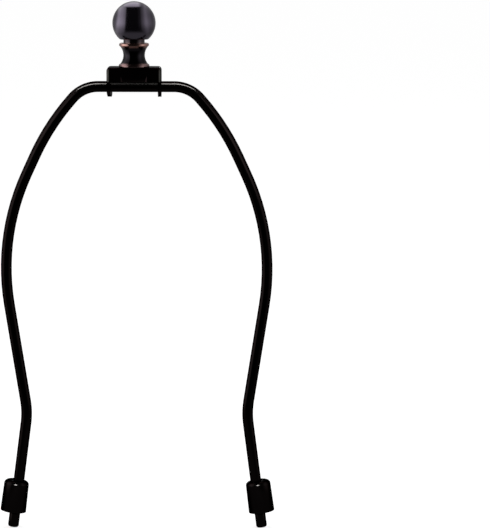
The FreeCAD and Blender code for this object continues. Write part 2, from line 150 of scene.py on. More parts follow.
pressed = [
    (PADDLE_TOP + LEDGE_STEP, 2 * WIRE_RADIUS, 2 * WIRE_RADIUS),
    (PADDLE_TOP, PADDLE_WIDE - 2 * LEDGE_CORNER, PADDLE_THICK),
    (PADDLE_TOP - LEDGE_CORNER, PADDLE_WIDE, PADDLE_THICK),
    (PADDLE_FOOT + PADDLE_SLOPE, PADDLE_WIDE, PADDLE_THICK),
    (PADDLE_FOOT, 2 * WIRE_RADIUS, 2 * WIRE_RADIUS),
    (0, 2 * WIRE_RADIUS, 2 * WIRE_RADIUS),
]
rings = []
at = (foot - kink_corner).length - kink_reach
for height, _, _ in pressed:
    loop = run_on(wire, loop, down_leg * (at - height))
    rings.append({vert for edge in loop for vert in edge.verts})
    at = height
for ring, (height, wide, thick) in zip(rings, pressed):
    press(ring, height, wide, thick)
bmesh.ops.edgeloop_fill(wire, edges=loop)
round_off(wire, loop, TIP_ROUND, 5)
half = wire.verts[:] + wire.edges[:] + wire.faces[:]
bmesh.ops.mirror(wire, geom=half, axis="X", merge_dist=SAME_PLACE)
bmesh.ops.remove_doubles(wire, verts=wire.verts[:], dist=SAME_PLACE)
bmesh.ops.recalc_face_normals(wire, faces=wire.faces[:])


def linear(code):
    """A colour written as sRGB hex, in the linear light that a shader takes."""
    parts = [int(code[i:i + 2], 16) / 255 for i in (1, 3, 5)]
    return [p / 12.92 if p <= 0.04045 else ((p + 0.055) / 1.055) ** 2.4 for p in parts] + [1]


def add(material, kind, inputs=None, **settings):
    """Adds a node: settings are its own properties, inputs its sockets' values or links."""
    node = material.node_tree.nodes.new("ShaderNode" + kind)
    for name, value in settings.items():
        setattr(node, name, value)
    for socket, value in (inputs or {}).items():
        if isinstance(value, bpy.types.NodeSocket):
            material.node_tree.links.new(value, node.inputs[socket])
        else:
            node.inputs[socket].default_value = value
    return node


def new_material(name):
    """An empty material."""
    material = bpy.data.materials.new(name)
    material.use_nodes = True
    material.node_tree.nodes.clear()
    return material


def surface(material, shader):
    """Puts a shader on the material's surface."""
    add(material, "OutputMaterial", {"Surface": shader})


def finish_piece(bm, name, material, body, node, sharp=35):
    """Makes a bmesh a shown piece that moves with a body and stands for a CAD node."""
    mesh = bpy.data.meshes.new(name)
    bm.to_mesh(mesh)
    bm.free()
    mesh.shade_smooth()
    mesh.set_sharp_from_angle(angle=math.radians(sharp))
    mesh.materials.append(material)
    piece = bpy.data.objects.new(name, mesh)
    bpy.context.scene.collection.objects.link(piece)
    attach(piece, body)
    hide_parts(node)
    return piece


# Black bronze plate under clear lacquer: a dipped coat, deep black and glossy. It has
# a faint orange peel about 2 mm across, and soft cloudy patches where it dried slower.
PEEL_SIZE, PEEL_DEPTH = 2.0 * MM, 0.02 * MM
LACQUER_CLOUD = 11.11 * MM

black_bronze = new_material("black_bronze_lacquer")
place = add(black_bronze, "TexCoord").outputs["Object"]
peel = add(black_bronze, "TexNoise", {"Vector": place, "Scale": 1 / PEEL_SIZE, "Detail": 2.0})
cloud = add(black_bronze, "TexNoise", {
    "Vector": place, "Scale": 1 / LACQUER_CLOUD, "Detail": 4.0, "Roughness": 0.6,
}).outputs["Fac"]
gloss = add(black_bronze, "MapRange", {
    "Value": cloud, "From Min": 0.3, "From Max": 0.75, "To Min": 0.14, "To Max": 0.22,
})
tone = add(black_bronze, "ValToRGB", {"Fac": cloud})
tone.color_ramp.elements[0].color = linear("#161212")
tone.color_ramp.elements[1].color = linear("#1c1717")
skin = add(black_bronze, "Bump", {
    "Height": peel.outputs["Fac"], "Strength": 0.04, "Distance": PEEL_DEPTH,
})
surface(black_bronze, add(black_bronze, "BsdfPrincipled", {
    "Base Color": tone.outputs["Color"],
    "Metallic": 1.0,
    "Roughness": gloss.outputs["Result"],
    "Specular Tint": (0.2, 0.2, 0.2, 1),
    "Normal": skin.outputs["Normal"],
}).outputs["BSDF"])
hoop = finish_piece(wire, "hoop_wire", black_bronze, "hoop", "harp_wire")

# The lock sleeves: two cups drawn from thin sheet, open at the bottom, that slide down
# to lock the legs in place. Each hangs by its closed end on the ledge of its paddle,
# and its hole is punched off centre, so that the cup stands out from the leg.
PLAY = 0.09 * MM
SLACK = 0.01 * MM  # how near to a line or a ring a point counts as on it
SLEEVE_RIM, SLEEVE_TOP = 5.65 * MM, 5.45 * MM
SLEEVE_LENGTH, SLEEVE_SHOULDER, SLEEVE_WALL = 13.8 * MM, 1.7 * MM, 0.6 * MM
SLEEVE_HOLE, SLEEVE_OFFSET = WIRE_RADIUS + PLAY, 0.85 * MM
SLEEVE_RIM_UP, SLEEVE_EDGE = 7.1 * MM, 0.12 * MM
LATHE_STEPS = 72

shoulder_foot = SLEEVE_LENGTH - SLEEVE_SHOULDER
shoulder_centre = SLEEVE_TOP - SLEEVE_SHOULDER


def turn_up(bm, outline):
    """Spins a closed half outline, as (radius, height) points, all the way round Z."""
    verts = [bm.verts.new((radius, 0, height)) for radius, height in outline]
    edges = [bm.edges.new(pair) for pair in zip(verts, verts[1:] + verts[:1])]
    bmesh.ops.spin(
        bm, geom=edges, cent=(0, 0, 0), axis=(0, 0, 1), angle=2 * math.pi,
        steps=LATHE_STEPS, use_merge=True, use_duplicate=False,
    )
    bmesh.ops.remove_doubles(bm, verts=bm.verts[:], dist=SAME_PLACE)
    bmesh.ops.dissolve_degenerate(bm, edges=bm.edges[:], dist=SAME_PLACE)
    bmesh.ops.recalc_face_normals(bm, faces=bm.faces[:])


def quarter(radius, height, size, start, end, steps=8):
    """Points of an arc of a size about (radius, height), from one angle to another."""
    angles = [math.radians(start + (end - start) * i / steps) for i in range(steps + 1)]
    return [(radius + size * math.cos(a), height + size * math.sin(a)) for a in angles]


def sharp_edges(bm, degrees):
    """The edges whose two faces turn by more than an angle."""
    return [
        edge for edge in bm.edges
        if edge.is_manifold and edge.calc_face_angle() > math.radians(degrees)
    ]


for side, body, node, name in (
    (-1, "left_sleeve", "left_lock_sleeve", "left_sleeve_cup"),
    (1, "right_sleeve", "right_lock_sleeve", "right_sleeve_cup"),
):
    cup = bmesh.new()
    turn_up(cup, [
        (SLEEVE_HOLE, SLEEVE_LENGTH),
        (SLEEVE_HOLE, SLEEVE_LENGTH - SLEEVE_WALL),
        *quarter(shoulder_centre, shoulder_foot, SLEEVE_SHOULDER - SLEEVE_WALL, 90, 0),
        (SLEEVE_RIM - SLEEVE_WALL, 0),
        (SLEEVE_RIM, 0),
        *quarter(shoulder_centre, shoulder_foot, SLEEVE_SHOULDER, 0, 90),
    ])
    hole_ring = [v for v in cup.verts if math.hypot(v.co.x, v.co.y) < SLEEVE_HOLE + SLACK]
    bmesh.ops.translate(cup, verts=hole_ring, vec=(-side * SLEEVE_OFFSET, 0, 0))
    round_off(cup, sharp_edges(cup, 40), SLEEVE_EDGE, 2)
    on_leg = foot - down_leg * SLEEVE_RIM_UP + across_leg * SLEEVE_OFFSET
    on_leg.x *= side
    upon_leg = Matrix.Translation(on_leg) @ Matrix.Rotation(-side * lean, 4, "Y")
    bmesh.ops.transform(cup, matrix=upon_leg, verts=cup.verts[:])
    finish_piece(cup, name, black_bronze, body, node)

# The saddle: a blank of 1.5 mm sheet pressed into a hood over the top run, with an
# ear at each end that the wire goes through. A tool has pinched the lower edge of the
# front and back walls in over the wire, and the dents' ends catch the light.
SADDLE_OFF = -0.85 * MM
SEAT_HEIGHT = 203.2 * MM
SADDLE_DEPTH, SADDLE_DROP, SADDLE_WALL = 12.0 * MM, 6.2 * MM, 1.5 * MM
SADDLE_CORNER, SADDLE_EDGE, BROKEN_EDGE = 1.6 * MM, 1.5 * MM, 0.2 * MM
INNER_CORNER, INNER_GATHER = 0.15 * MM, 0.25 * MM
EAR_HALF, EAR_HOLE = 4.4 * MM, WIRE_RADIUS + PLAY
EAR_TWIST = 0.12  # the left ear has been knocked out of square, by about 7 degrees
STUD_HOLE, HOLE_STEPS = 3.225 * MM, 40
PINCH_HALF, PINCH_RUN_OUT, PINCH_UP, PINCH_IN = 4.8 * MM, 0.8 * MM, 2.6 * MM, 0.6 * MM

wall_foot = SEAT_HEIGHT - SADDLE_DROP
saddle_end = SADDLE_LENGTH / 2
ear_drop = wall_foot - RUN_HEIGHT + EAR_HALF


def edges_of(items):
    """The edges among what an operator made."""
    return [item for item in items if isinstance(item, bmesh.types.BMEdge)]


def verts_of(items):
    """The points among what an operator made."""
    return [item for item in items if isinstance(item, bmesh.types.BMVert)]


def under_wall(edge, x):
    """Whether an edge of the end wall at x lies along the wall's foot or under it."""
    return all(
        abs(vert.co.x - x) < SAME_PLACE and vert.co.z < wall_foot + SAME_PLACE
        for vert in edge.verts
    )


def score(bm, faces, point, across):
    """Cuts faces along the plane through a point."""
    border = dict.fromkeys(edge for face in faces for edge in face.edges)
    bmesh.ops.bisect_plane(
        bm, geom=faces + list(border), dist=SAME_PLACE, plane_co=point, plane_no=across
    )


def in_order(bm):
    """Numbers a mesh's parts by place, as operators leave them in another order each run."""
    for items in (bm.verts, bm.edges, bm.faces):
        places = {}
        for item in items:
            points = [vert.co for vert in getattr(item, "verts", [item])]
            places[item] = [
                round(sum(point[axis] for point in points) / len(points), 7) for axis in range(3)
            ]
        for number, item in enumerate(sorted(places, key=places.get)):
            item.index = number
        items.sort()


saddle = bmesh.new()
bmesh.ops.create_cube(saddle, size=1)
bmesh.ops.scale(saddle, verts=saddle.verts[:], vec=(SADDLE_LENGTH, SADDLE_DEPTH, SADDLE_DROP))
bmesh.ops.translate(saddle, verts=saddle.verts[:], vec=(0, 0, SEAT_HEIGHT - SADDLE_DROP / 2))
under = [face for face in saddle.faces if face.normal.z < -0.5]
bmesh.ops.delete(saddle, geom=under, context="FACES_ONLY")
upright = [
    edge for edge in saddle.edges
    if abs(edge.verts[0].co.z - edge.verts[1].co.z) > SADDLE_DROP / 2
]
round_off(saddle, upright, SADDLE_CORNER, 8)
rim = [edge for edge in saddle.edges if min(v.co.z for v in edge.verts) > SEAT_HEIGHT - SLACK]
round_off(saddle, rim, SADDLE_EDGE, 5)

# The hole for the stud, in the web on top of the hood.
web = next(face for face in saddle.faces if face.normal.z > 0.99 and len(face.verts) > 4)
web_edges = web.edges[:]
bmesh.ops.delete(saddle, geom=[web], context="FACES_ONLY")
hole = bmesh.ops.create_circle(
    saddle, segments=HOLE_STEPS, radius=STUD_HOLE, matrix=Matrix.Translation((0, 0, SEAT_HEIGHT))
)["verts"]
hole_edges = list(dict.fromkeys(edge for vert in hole for edge in vert.link_edges))
bmesh.ops.triangle_fill(saddle, edges=web_edges + hole_edges, use_beauty=True, normal=(0, 0, 1))

# Each ear carries an end wall on down, to a half round about the wire's hole.
for side in (-1, 1):
    x = side * saddle_end
    foot_edge = next(
        edge for edge in saddle.edges
        if edge.is_boundary and under_wall(edge, x) and edge.calc_length() > EAR_HALF
    )
    start = min(foot_edge.verts, key=lambda v: v.co.y)
    finish = foot_edge.other_vert(start)
    down = verts_of(bmesh.ops.extrude_vert_indiv(saddle, verts=[start])["verts"])
    down[0].co.z = RUN_HEIGHT
    swung = bmesh.ops.spin(
        saddle, geom=down, cent=(x, 0, RUN_HEIGHT), axis=(1, 0, 0), angle=math.pi, steps=24,
        use_duplicate=False,
    )
    last = verts_of(swung["geom_last"])[0]
    saddle.edges.new((last, finish))
    bmesh.ops.create_circle(
        saddle, segments=HOLE_STEPS, radius=EAR_HOLE,
        matrix=Matrix.Translation((x, 0, RUN_HEIGHT)) @ Matrix.Rotation(math.pi / 2, 4, "Y"),
    )
    outline = [edge for edge in saddle.edges if under_wall(edge, x)]
    bmesh.ops.triangle_fill(saddle, edges=outline, use_beauty=True, normal=(side, 0, 0))

# The pinch: each long wall is scored at the dent's limits and its foot pushed in.
for side in (-1, 1):
    for cut in (-PINCH_HALF - PINCH_RUN_OUT, -PINCH_HALF, PINCH_HALF, PINCH_HALF + PINCH_RUN_OUT):
        long_wall = [face for face in saddle.faces if face.normal.y * side > 0.99]
        score(saddle, long_wall, (cut, 0, 0), (1, 0, 0))
    pinched = [
        face for face in saddle.faces
        if face.normal.y * side > 0.99
        and abs(face.calc_center_median().x) < PINCH_HALF + PINCH_RUN_OUT
    ]
    score(saddle, pinched, (0, 0, wall_foot + PINCH_UP), (0, 0, 1))
    for vert in saddle.verts:
        outside = vert.co.y * side > SADDLE_DEPTH / 2 - SAME_PLACE
        at_foot = vert.co.z < wall_foot + SAME_PLACE
        if outside and at_foot and abs(vert.co.x) < PINCH_HALF + SAME_PLACE:
            vert.co.y -= side * PINCH_IN
    for end in (-1, 1):
        low = next(
            v for v in saddle.verts if v.co.z < wall_foot + SAME_PLACE
            and abs(v.co.x - end * PINCH_HALF) < SAME_PLACE and v.co.y * side > SADDLE_DEPTH / 4
        )
        high = next(
            v for v in saddle.verts if abs(v.co.z - wall_foot - PINCH_UP) < SAME_PLACE
            and abs(v.co.x - end * (PINCH_HALF + PINCH_RUN_OUT)) < SAME_PLACE
            and v.co.y * side > 0
        )
        bmesh.ops.connect_verts(saddle, verts=[low, high])

# The sheet gets its thickness inwards. The rounded corners fold up on themselves inside,
# so the points there are gathered into one line. Then the left ear is knocked out of
# square, and the blank's cut edges are broken.
bmesh.ops.recalc_face_normals(saddle, faces=saddle.faces[:])
in_order(saddle)
bmesh.ops.solidify(saddle, geom=saddle.faces[:], thickness=SADDLE_WALL)
in_order(saddle)
inner_corners = [
    v for v in saddle.verts
    if abs(abs(v.co.x) - saddle_end + SADDLE_WALL) < INNER_CORNER
    and abs(abs(v.co.y) - SADDLE_DEPTH / 2 + SADDLE_WALL) < INNER_CORNER
]
bmesh.ops.remove_doubles(saddle, verts=inner_corners, dist=INNER_GATHER)
bmesh.ops.recalc_face_normals(saddle, faces=saddle.faces[:])
in_order(saddle)
bmesh.ops.dissolve_limit(
    saddle, angle_limit=math.radians(1), use_dissolve_boundaries=False,
    verts=saddle.verts[:], edges=saddle.edges[:],
)
for vert in saddle.verts:
    below = max(0, wall_foot - vert.co.z)
    if vert.co.x < -saddle_end + SADDLE_WALL + SLACK:
        vert.co.x += EAR_TWIST * (vert.co.y + EAR_HALF) * below / ear_drop
in_order(saddle)
round_off(saddle, sharp_edges(saddle, 20), BROKEN_EDGE, 3, clamp_overlap=True)
bmesh.ops.translate(saddle, verts=saddle.verts[:], vec=(SADDLE_OFF, 0, 0))

# The same black bronze over a pressed blank: the tumbler has broken the gloss. The rounded
# upright corners are painted a greyer metal with a wandering edge, a painted highlight that gives
# them brighter lines of reflected light.
MOTTLE_SIZE, HIGHLIGHT_WANDER = 3.846 * MM, 0.5 * MM

bronze_with_corner_highlights = new_material("tumbled_bronze_painted_corners")
place = add(bronze_with_corner_highlights, "TexCoord").outputs["Object"]
mottle = add(bronze_with_corner_highlights, "TexNoise", {
    "Vector": place, "Scale": 1 / MOTTLE_SIZE, "Detail": 4.0,
}).outputs["Fac"]
hood_middle = (SADDLE_OFF, 0, SEAT_HEIGHT - SADDLE_DROP / 2)
centred = add(bronze_with_corner_highlights, "VectorMath", {0: place, 1: hood_middle}, operation="SUBTRACT").outputs[0]
sides = add(bronze_with_corner_highlights, "SeparateXYZ", {"Vector": centred}).outputs
along = add(bronze_with_corner_highlights, "Math", {0: sides["X"]}, operation="ABSOLUTE").outputs[0]
deep = add(bronze_with_corner_highlights, "Math", {0: sides["Y"]}, operation="ABSOLUTE").outputs[0]
to_end = add(bronze_with_corner_highlights, "Math", {0: along, 1: SADDLE_LENGTH / 2}, operation="SUBTRACT").outputs[0]
to_front = add(bronze_with_corner_highlights, "Math", {0: deep, 1: SADDLE_DEPTH / 2}, operation="SUBTRACT").outputs[0]
corner_near = add(bronze_with_corner_highlights, "Math", {0: to_end, 1: to_front}, operation="ADD").outputs[0]
highlight_wander = add(bronze_with_corner_highlights, "MapRange", {"Value": mottle, "To Min": -HIGHLIGHT_WANDER, "To Max": HIGHLIGHT_WANDER})
highlight_reach = add(bronze_with_corner_highlights, "Math", {0: corner_near, 1: highlight_wander.outputs[0]}, operation="ADD").outputs[0]
# Painted highlight: a mask over the rounded upright corners, which takes them to a greyer metal.
corner_highlight = add(bronze_with_corner_highlights, "MapRange", {
    "Value": highlight_reach, "From Min": -SADDLE_CORNER * 0.9, "From Max": -SADDLE_CORNER * 0.5,
}).outputs[0]
plate_and_highlight_tone = add(bronze_with_corner_highlights, "ValToRGB", {"Fac": corner_highlight})
plate_and_highlight_tone.color_ramp.elements[0].color = linear("#231b1c")
plate_and_highlight_tone.color_ramp.elements[1].color = linear("#4c4c48")
dull = add(bronze_with_corner_highlights, "MapRange", {"Value": mottle, "To Min": 0.2, "To Max": 0.34})
surface(bronze_with_corner_highlights, add(bronze_with_corner_highlights, "BsdfPrincipled", {
    "Base Color": plate_and_highlight_tone.outputs["Color"],
    "Metallic": 1.0,
    "Roughness": dull.outputs["Result"],
    "Specular Tint": (0.3, 0.3, 0.3, 1),
}).outputs["BSDF"])
finish_piece(saddle, "pressed_saddle", bronze_with_corner_highlights, "saddle", "top_saddle")

# The stud: 1/4 inch steel rod with a rolled thread, 27 to the inch, set in the web
# from below and headed over like a rivet. It stays bare and bright, with dark roots.
STUD_CREST, STUD_ROOT = 3.175 * MM, 2.65 * MM
STUD_HEIGHT, STUD_CHAMFER, STUD_TIP = 11.0 * MM, 0.7 * MM, 0.2 * MM
SHANK_TOP, RELIEF_FOOT = 0.2 * MM, 0.6 * MM
RIVET_RADIUS, RIVET_THICK, RIVET_EDGE = 4.4 * MM, 1.4 * MM, 0.7 * MM
THREAD_PITCH, THREAD_FOOT, THREAD_STEPS = 25.4 / 27 * MM, 0.75 * MM, 40
RIDGE_FOOT, RIDGE_CREST = 0.42 * THREAD_PITCH, 0.07 * THREAD_PITCH
RIDGE_SUNK = 0.1 * MM

stud = bmesh.new()
turn_up(stud, [
    (0, -SADDLE_WALL - RIVET_THICK),
    (RIVET_RADIUS - RIVET_EDGE, -SADDLE_WALL - RIVET_THICK),
    *quarter(RIVET_RADIUS - RIVET_EDGE, -SADDLE_WALL - RIVET_EDGE, RIVET_EDGE, -90, 0, 5)[1:],
    (RIVET_RADIUS, -SADDLE_WALL),
    (STUD_CREST, -SADDLE_WALL),
    (STUD_CREST, SHANK_TOP),
    (STUD_ROOT, RELIEF_FOOT),
    (STUD_ROOT, STUD_HEIGHT - STUD_TIP),
    (STUD_ROOT - STUD_TIP, STUD_HEIGHT),
    (0, STUD_HEIGHT),
])
ridge = [
    (STUD_ROOT - RIDGE_SUNK, -RIDGE_FOOT), (STUD_CREST, -RIDGE_CREST),
    (STUD_CREST, RIDGE_CREST), (STUD_ROOT - RIDGE_SUNK, RIDGE_FOOT),
]
turns = (STUD_HEIGHT - STUD_CHAMFER - THREAD_FOOT) / THREAD_PITCH
steps = round(turns * THREAD_STEPS)
ridge_verts = [stud.verts.new((radius, 0, height + THREAD_FOOT)) for radius, height in ridge]
ridge_edges = [
    stud.edges.new(pair) for pair in zip(ridge_verts, ridge_verts[1:] + ridge_verts[:1])
]
wound = bmesh.ops.spin(
    stud, geom=ridge_edges, cent=(0, 0, 0), axis=(0, 0, 1), angle=turns * 2 * math.pi,
    dvec=(0, 0, turns * THREAD_PITCH / steps), steps=steps, use_duplicate=False,
)
bmesh.ops.edgeloop_fill(stud, edges=ridge_edges)
bmesh.ops.edgeloop_fill(stud, edges=edges_of(wound["geom_last"]))
bmesh.ops.recalc_face_normals(stud, faces=stud.faces[:])
bmesh.ops.translate(stud, verts=stud.verts[:], vec=(SADDLE_OFF, 0, SEAT_HEIGHT))

# Cold-headed steel: a plain grey metal, lighter and glossier towards the crests and darker and
# rougher towards the roots, in patches.
PATCH_SIZE = 1.111 * MM

stud_steel = new_material("rolled_stud_steel")
place = add(stud_steel, "TexCoord").outputs["Object"]
centred = add(stud_steel, "Mapping", {"Vector": place, "Location": (-SADDLE_OFF, 0, 0)})
flat = add(stud_steel, "VectorMath", {0: centred.outputs[0], 1: (1, 1, 0)}, operation="MULTIPLY")
out = add(stud_steel, "VectorMath", {0: flat.outputs[0]}, operation="LENGTH").outputs["Value"]
crest = add(stud_steel, "MapRange", {"Value": out, "From Min": STUD_ROOT, "From Max": STUD_CREST})
patch_noise = add(stud_steel, "TexNoise", {"Vector": place, "Scale": 1 / PATCH_SIZE, "Detail": 3.0})
bright = add(stud_steel, "Math", {
    0: crest.outputs[0], 1: patch_noise.outputs["Fac"],
}, operation="MULTIPLY").outputs[0]
steel_tone = add(stud_steel, "ValToRGB", {"Fac": bright})
steel_tone.color_ramp.elements[0].color = linear("#5a5650")
steel_tone.color_ramp.elements[1].color = linear("#c9c4bb")
steel_tone.color_ramp.elements[1].position = 0.55
steel_gloss = add(stud_steel, "MapRange", {"Value": bright, "To Min": 0.5, "To Max": 0.25})
surface(stud_steel, add(stud_steel, "BsdfPrincipled", {
    "Base Color": steel_tone.outputs["Color"],
    "Metallic": 1.0,
    "Roughness": steel_gloss.outputs["Result"],
}).outputs["BSDF"])
finish_piece(stud, "threaded_stud", stud_steel, "saddle", "finial_stud", 50)

# The finial: turned from one brass bar and tapped from below. A flange sits on the
# saddle, a cove rises to a collar, and a short neck carries the ball. It is plated
# black bronze, and hands have rubbed the two flanges through to the copper.
FLANGE, FLANGE_THICK = 6.65 * MM, 1.25 * MM
WAIST, COVE_LIP = 4.65 * MM, 0.5 * MM
COLLAR, COLLAR_HEIGHT, COLLAR_THICK = 6.45 * MM, 8.8 * MM, 1.45 * MM
NECK, NECK_LENGTH, NECK_FILLET = 4.6 * MM, 1.65 * MM, 0.12 * MM
BALL, BALL_CUT = 9.35 * MM, 7.0 * MM
BORE, BORE_DEPTH, BORE_POINT = 3.235 * MM, 12.4 * MM, 1.6 * MM
FLANGE_FOOT_EDGE, FLANGE_EDGE, COLLAR_EDGE = 0.15 * MM, 0.7 * MM, 0.6 * MM

cove_low, cove_high = FLANGE - COVE_LIP, COLLAR - COVE_LIP
cove_half = (COLLAR_HEIGHT - FLANGE_THICK) / 2
cove_sag = (cove_low + cove_high) / 2 - WAIST
cove_radius = (cove_half ** 2 + cove_sag ** 2) / (2 * cove_sag)
cove_swing = math.degrees(math.asin(cove_half / cove_radius))
cove_middle = (WAIST + cove_radius, FLANGE_THICK + cove_half)
neck_foot = COLLAR_HEIGHT + COLLAR_THICK
ball_foot = neck_foot + NECK_LENGTH
ball_centre = ball_foot + BALL_CUT
ball_start = -math.degrees(math.asin(BALL_CUT / BALL))
finial_height = ball_centre + BALL

turned = bmesh.new()
turn_up(turned, [
    (BORE, 0),
    (FLANGE - FLANGE_FOOT_EDGE, 0),
    *quarter(FLANGE - FLANGE_FOOT_EDGE, FLANGE_FOOT_EDGE, FLANGE_FOOT_EDGE, -90, 0, 4)[1:],
    *quarter(FLANGE - FLANGE_EDGE, FLANGE_THICK - FLANGE_EDGE, FLANGE_EDGE, 0, 90, 6),
    *quarter(*cove_middle, cove_radius, 180 + cove_swing, 180 - cove_swing, 24),
    (COLLAR - COLLAR_EDGE, COLLAR_HEIGHT),
    *quarter(COLLAR - COLLAR_EDGE, COLLAR_HEIGHT + COLLAR_EDGE, COLLAR_EDGE, -90, 0, 6)[1:],
    *quarter(COLLAR - COLLAR_EDGE, neck_foot - COLLAR_EDGE, COLLAR_EDGE, 0, 90, 6),
    (NECK + NECK_FILLET, neck_foot),
    *quarter(NECK + NECK_FILLET, neck_foot + NECK_FILLET, NECK_FILLET, 270, 180, 4)[1:],
    *quarter(NECK + NECK_FILLET, ball_foot - NECK_FILLET, NECK_FILLET, 180, 90, 4),
    *quarter(0, ball_centre, BALL, ball_start, 90, 44),
    (0, BORE_DEPTH + BORE_POINT),
    (BORE, BORE_DEPTH),
])
bmesh.ops.translate(turned, verts=turned.verts[:], vec=(SADDLE_OFF, 0, SEAT_HEIGHT))

# Polished black bronze: a metal coat, violet grey on the ball and greener and darker down in the
# cove, where polishing does not reach. Copper shows through on the rims; on the collar it
# lightens towards the top face, and that lighter top is painted highlight.
WANDER_SIZE, WANDER = 2.381 * MM, 0.25 * MM
POLISH_CLOUD = 6.25 * MM

bronze = new_material("polished_black_bronze")
place = add(bronze, "TexCoord").outputs["Object"]
height = add(bronze, "SeparateXYZ", {"Vector": place}).outputs["Z"]
wander = add(bronze, "TexNoise", {"Vector": place, "Scale": 1 / WANDER_SIZE, "Detail": 3.0})
shift = add(bronze, "MapRange", {
    "Value": wander.outputs["Fac"], "To Min": -WANDER, "To Max": WANDER,
}).outputs[0]
level = add(bronze, "Math", {0: height, 1: shift}, operation="ADD").outputs[0]
up_finial = add(bronze, "MapRange", {
    "Value": level, "From Min": SEAT_HEIGHT, "From Max": SEAT_HEIGHT + finial_height,
}).outputs[0]
plate = add(bronze, "ValToRGB", {"Fac": up_finial})
plate.color_ramp.elements[0].color = linear("#7c6766")
for band_height, colour in (
    (FLANGE_THICK - 0.1 * MM, "#937473"),
    (FLANGE_THICK + 0.5 * MM, "#1d1a1d"),
    (FLANGE_THICK + cove_half, "#2a272b"),
    (COLLAR_HEIGHT - 0.5 * MM, "#201d20"),
    (COLLAR_HEIGHT + 0.05 * MM, "#a0766c"),
    # Painted highlight: the collar's top face is a lighter copper.
    (neck_foot - 0.05 * MM, "#c09990"),
    (neck_foot + 0.25 * MM, "#4a4143"),
    (ball_foot - 0.2 * MM, "#453e41"),
    (ball_foot + 0.3 * MM, "#5c5660"),
    (ball_centre, "#605a66"),
):
    plate.color_ramp.elements.new(band_height / finial_height).color = linear(colour)
plate.color_ramp.elements[-1].color = linear("#6a6470")
haze = add(bronze, "TexNoise", {"Vector": place, "Scale": 1 / POLISH_CLOUD, "Detail": 4.0})
bronze_gloss = add(bronze, "MapRange", {
    "Value": haze.outputs["Fac"], "From Min": 0.3, "From Max": 0.7, "To Min": 0.1, "To Max": 0.2,
})
surface(bronze, add(bronze, "BsdfPrincipled", {
    "Base Color": plate.outputs["Color"],
    "Metallic": 1.0,
    "Roughness": bronze_gloss.outputs["Result"],
}).outputs["BSDF"])
finish_piece(turned, "turned_finial", bronze, "finial", "finial", 40)

# The studio: a pale floor that reads as white just under the feet, and a camera a
# little above the finial, pitched 8 degrees down.
FILM_WIDTH, LENS = 36.0, 203.17
CAMERA_PLACE = (0.04725, -1.2873, 0.2981)
PITCH, ROLL = math.radians(90 - 8), math.radians(0.12)
FLOOR_DOWN, FLOOR_SIZE = 0.25 * MM, 15
FLOOR_GLOW = 0.88  # with what the lamps add, the floor comes to white

eye = bpy.data.cameras.new("eye")
eye.sensor_width = FILM_WIDTH
eye.lens = LENS
eye.clip_start, eye.clip_end = 0.05, 50
camera = bpy.data.objects.new("camera", eye)
camera.location = CAMERA_PLACE
camera.rotation_euler = (
    Matrix.Rotation(PITCH, 3, "X") @ Matrix.Rotation(ROLL, 3, "Z")
).to_euler()
bpy.context.scene.collection.objects.link(camera)
bpy.context.scene.camera = camera


def seen_directly(owner):
    """1 for rays from the camera, and for reflected and refracted ones, and 0 otherwise."""
    path = add(owner, "LightPath").outputs
    either = add(owner, "Math", {
        0: path["Is Camera Ray"], 1: path["Is Glossy Ray"],
    }, operation="MAXIMUM")
    return add(owner, "Math", {
        0: either.outputs[0], 1: path["Is Transmission Ray"],
    }, operation="MAXIMUM").outputs[0]


def stage_sheet(name, bm, material):
    """A sheet of the studio, which isn't part of the object."""
    mesh = bpy.data.meshes.new(name)
    bm.to_mesh(mesh)
    bm.free()
    mesh.materials.append(material)
    sheet = bpy.data.objects.new(name, mesh)
    bpy.context.scene.collection.objects.link(sheet)
    return sheet


floor_paint = new_material("white_floor_paint")
lit = add(floor_paint, "BsdfDiffuse", {"Color": linear("#9a9a9a")})
shine = add(floor_paint, "Math", {
    0: seen_directly(floor_paint), 1: FLOOR_GLOW,
}, operation="MULTIPLY").outputs[0]
glow = add(floor_paint, "Emission", {"Color": (1, 1, 1, 1), "Strength": shine})
both = add(floor_paint, "AddShader", {0: glow.outputs[0], 1: lit.outputs[0]})
surface(floor_paint, both.outputs[0])
ground = bmesh.new()
bmesh.ops.create_grid(ground, x_segments=1, y_segments=1, size=FLOOR_SIZE)
bmesh.ops.translate(ground, verts=ground.verts[:], vec=(0, 0, -FLOOR_DOWN))
stage_sheet("floor", ground, floor_paint)

# A tent of cloth that only reflections see, lit from the left, less from the right and
# most from above, and grey behind. It stands open in front, on a dark room. Its cloth
# is drawn as the ball shows it, by how far across and up the ball each patch appears.
TENT_RADIUS, TENT_FLOOR, TENT_STEPS = 0.9, 0.95, 96
TENT_FLOOR_UP = 0.2 * MM
TENT_POWER, TENT_BACK = 2.2, 0.15

ball_place = Vector((SADDLE_OFF, 0, SEAT_HEIGHT + ball_centre))
towards = (camera.location - ball_place).normalized()
upward = (Vector((0, 0, 1)) - towards * towards.z).normalized()
rightward = towards.cross(upward) * -1

tent_cloth = new_material("tent_cloth")
place = add(tent_cloth, "TexCoord").outputs["Object"]
from_ball = add(tent_cloth, "VectorMath", {0: place, 1: ball_place}, operation="SUBTRACT")
patch = add(tent_cloth, "VectorMath", {0: from_ball.outputs[0]}, operation="NORMALIZE").outputs[0]
between = add(tent_cloth, "VectorMath", {0: patch, 1: towards}, operation="ADD").outputs[0]
shown = add(tent_cloth, "VectorMath", {0: between}, operation="NORMALIZE").outputs[0]
up = add(tent_cloth, "VectorMath", {
    0: shown, 1: upward,
}, operation="DOT_PRODUCT").outputs["Value"]
aside = add(tent_cloth, "VectorMath", {
    0: shown, 1: rightward,
}, operation="DOT_PRODUCT").outputs["Value"]
narrowing = add(tent_cloth, "MapRange", {
    "Value": up, "From Min": -0.4, "From Max": 0.8, "To Min": 0.95, "To Max": 1.18,
}).outputs[0]
across = add(tent_cloth, "Math", {0: aside, 1: narrowing}, operation="MULTIPLY").outputs[0]


